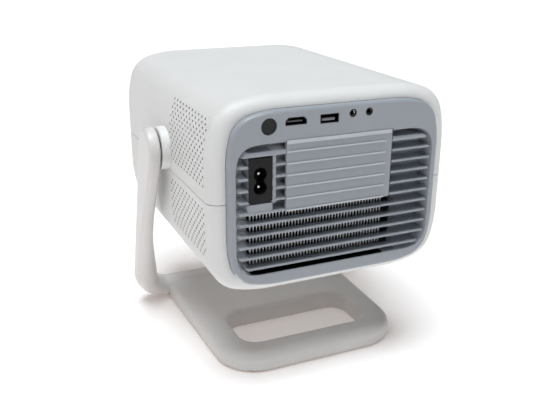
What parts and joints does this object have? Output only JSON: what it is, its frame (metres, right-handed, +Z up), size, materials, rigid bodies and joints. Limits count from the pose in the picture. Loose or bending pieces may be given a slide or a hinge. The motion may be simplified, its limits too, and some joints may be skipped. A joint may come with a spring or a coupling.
{
  "type": "projector with disc drive",
  "caption": "Portable projector in a rounded case with a louvred back, side grilles, lens and disc tray, tilting in a yoke on a flat slotted stand.",
  "frame": {"origin": "on the table, under the middle of the whole object's box", "axes": "+Z up; +Y towards the louvred back with the sockets; the lens and the disc tray face -Y; +X is the left side seen from behind, the side of the mains inlet"},
  "size_m": [0.2004, 0.2136, 0.1961],
  "materials": {
    "white_case": "fine matt moulded finish",
    "grey_panel": "satin moulded finish",
    "stand_paint": "fine matt powder coat",
    "stand_plastic": "satin moulded finish",
    "charcoal": "matt",
    "black_plastic": "satin",
    "smoked_window": "polished",
    "steel": "plain",
    "zinc_steel": "zinc plated sheet",
    "aluminium": "extruded",
    "copper": "plain copper",
    "optical_glass": "polished, coated",
    "picture_glass": "polished",
    "circuit_board": "solder mask",
    "paper_cone": "pressed paper",
    "white_gear": "acetal",
    "rubber": "soft"
  },
  "bodies": {
    "stand": {"yoke": "stand_paint", "base_slab": "stand_plastic", "base_dowels": "steel", "base_feet": "rubber"},
    "projector": {"upper_shell": "white_case", "lower_shell": "white_case", "left_grilles": "white_case", "right_grilles": "white_case", "case_screws": "steel", "inner_frame": "zinc_steel", "rear_panel": "grey_panel", "rear_cover_plate": "grey_panel", "power_inlet": "charcoal", "inlet_pins": "steel", "ir_window": "smoked_window", "hdmi_socket": "zinc_steel", "usb_socket": "zinc_steel", "audio_jacks": "black_plastic", "front_panel": "grey_panel", "lens_ring": "black_plastic", "lens_mount": "black_plastic", "focus_motor": "zinc_steel", "light_engine": "black_plastic", "lcd_panel": "picture_glass", "fresnel_lenses": "picture_glass", "led_module": "copper", "heat_pipes": "copper", "heat_sink": "aluminium", "fan_frame": "black_plastic", "main_board": "circuit_board", "power_supply": "circuit_board", "left_speaker": "paper_cone", "right_speaker": "paper_cone", "drive_chassis": "zinc_steel", "left_hub": "white_case", "right_hub": "white_case", "pivot_shafts": "steel", "pivot_nuts": "steel", "friction_washers": "black_plastic"},
    "fan": {"fan_rotor": "black_plastic"},
    "focus_ring": {"focus_gear": "white_gear"},
    "barrel": {"lens_barrel": "black_plastic", "lens_glass": "optical_glass"},
    "pinion": {"focus_pinion": "white_gear", "focus_shaft": "steel"},
    "tray": {"disc_tray": "charcoal", "tray_bezel": "grey_panel", "spindle_motor": "zinc_steel", "guide_rods": "steel", "sled_motor": "zinc_steel"},
    "turntable": {"turntable": "black_plastic"},
    "screw": {"lead_screw": "steel"},
    "sled": {"pickup_sled": "charcoal"},
    "eject": {"eject_button": "grey_panel"}
  },
  "joints": [
    {"name": "body_tilt", "type": "hinge", "parent": "stand", "child": "projector", "pos_m": [0, 0.01015, 0.1455], "axis": [-1, 0, 0], "range_deg": [-15, 90]},
    {"name": "fan_spin", "type": "hinge", "parent": "projector", "child": "fan", "pos_m": [0.012, 0.046, 0.10035], "axis": [0, 1, 0], "continuous": true},
    {"name": "focus_turn", "type": "hinge", "parent": "projector", "child": "focus_ring", "pos_m": [0, -0.08085, 0.1475], "axis": [0, 1, 0], "range_deg": [-60, 60]},
    {"name": "barrel_travel", "type": "slide", "parent": "projector", "child": "barrel", "axis": [0, -1, 0], "range_m": [-0.003, 0.003]},
    {"name": "pinion_turn", "type": "hinge", "parent": "projector", "child": "pinion", "pos_m": [0.01826, -0.08085, 0.1713], "axis": [0, 1, 0], "range_deg": [-241, 241]},
    {"name": "tray_slide", "type": "slide", "parent": "projector", "child": "tray", "axis": [0, -1, 0], "range_m": [0, 0.118]},
    {"name": "disc_spin", "type": "hinge", "parent": "tray", "child": "turntable", "pos_m": [0, -0.039, 0.108], "axis": [0, 0, 1], "continuous": true},
    {"name": "screw_turn", "type": "hinge", "parent": "tray", "child": "screw", "pos_m": [0.0255, 0, 0.104], "axis": [0, 1, 0], "range_deg": [0, 3361]},
    {"name": "sled_travel", "type": "slide", "parent": "tray", "child": "sled", "axis": [0, 1, 0], "range_m": [0, 0.028]},
    {"name": "eject_press", "type": "slide", "parent": "tray", "child": "eject", "axis": [0, 1, 0], "range_m": [0, 0.001], "stiffness_N_per_m": 300, "springref_m": -0.0012}
  ],
  "couplings": [
    {"joint": "barrel_travel", "follows": "focus_turn", "m_per_rad": 0.002864},
    {"joint": "pinion_turn", "follows": "focus_turn", "ratio": -4},
    {"joint": "screw_turn", "follows": "sled_travel", "rad_per_m": 2094.4}
  ]
}
